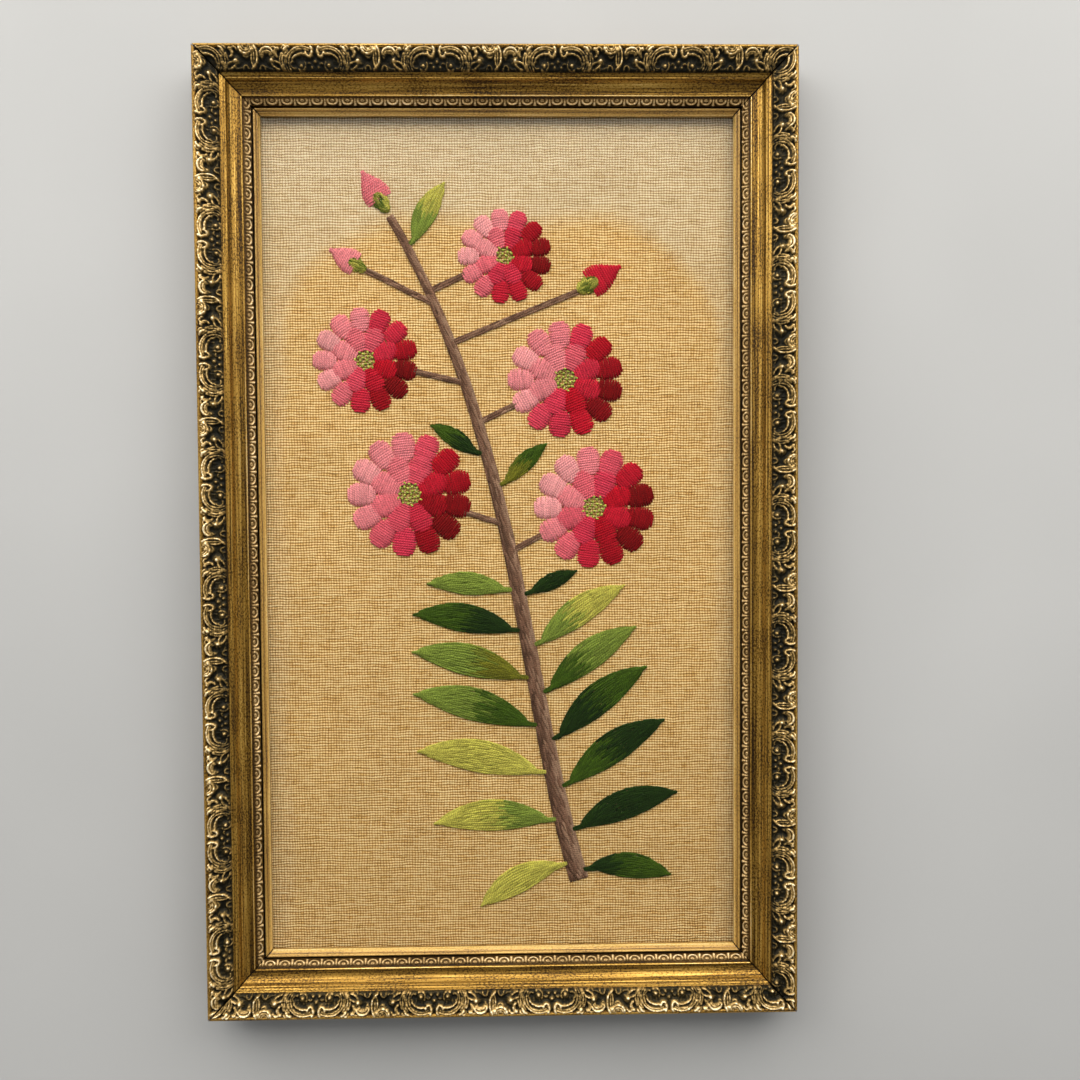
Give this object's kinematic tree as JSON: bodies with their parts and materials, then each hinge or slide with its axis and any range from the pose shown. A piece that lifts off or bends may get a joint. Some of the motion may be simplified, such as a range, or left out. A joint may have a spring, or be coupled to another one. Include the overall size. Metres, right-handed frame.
{
  "type": "framed crewel embroidery picture",
  "caption": "Upright wool embroidery of a flowering spray on coarse tan linen, under glass in an antique-gold scroll-moulded frame with an inner slip.",
  "frame": {"origin": "middle of the frame's flat back, which lies on the surface", "axes": "+X across the picture to its right, +Y up the picture, +Z out of its face"},
  "size_m": [0.406, 0.66, 0.0368],
  "materials": {
    "gilt_rail": "wood moulding gilded in antique gold with a dark wash",
    "gilt_ornament": "cast scroll ornament, gilded, with dark wash in the hollows",
    "gilt_slip": "narrow slip in brighter gold leaf",
    "glass": "clear picture glass",
    "linen": "coarse plain-woven tan linen",
    "brown_yarn": "brown wool yarn",
    "green_yarn": "green wool yarns",
    "pink_yarn": "pink to crimson wool yarns",
    "board": "plain brown hardboard"
  },
  "bodies": {
    "root": {"rail_bottom": "gilt_rail", "rail_right": "gilt_rail", "rail_top": "gilt_rail", "rail_left": "gilt_rail", "ornament_bottom": "gilt_ornament", "ornament_right": "gilt_ornament", "ornament_top": "gilt_ornament", "ornament_left": "gilt_ornament", "slip_bottom": "gilt_slip", "slip_right": "gilt_slip", "slip_top": "gilt_slip", "slip_left": "gilt_slip", "glass_pane": "glass", "linen_ground": "linen", "backing_board": "board", "stem": "brown_yarn", "leaf_01": "green_yarn", "leaf_02": "green_yarn", "leaf_03": "green_yarn", "leaf_04": "green_yarn", "leaf_05": "green_yarn", "leaf_06": "green_yarn", "leaf_07": "green_yarn", "leaf_08": "green_yarn", "leaf_09": "green_yarn", "leaf_10": "green_yarn", "leaf_11": "green_yarn", "leaf_12": "green_yarn", "leaf_13": "green_yarn", "leaf_14": "green_yarn", "leaf_15": "green_yarn", "leaf_16": "green_yarn", "leaf_17": "green_yarn", "blossom_lower_right": "pink_yarn", "blossom_middle_left": "pink_yarn", "blossom_upper_right": "pink_yarn", "blossom_upper_left": "pink_yarn", "blossom_top": "pink_yarn", "bud_top": "pink_yarn", "bud_right": "pink_yarn", "bud_left": "pink_yarn"}
  },
  "joints": []
}
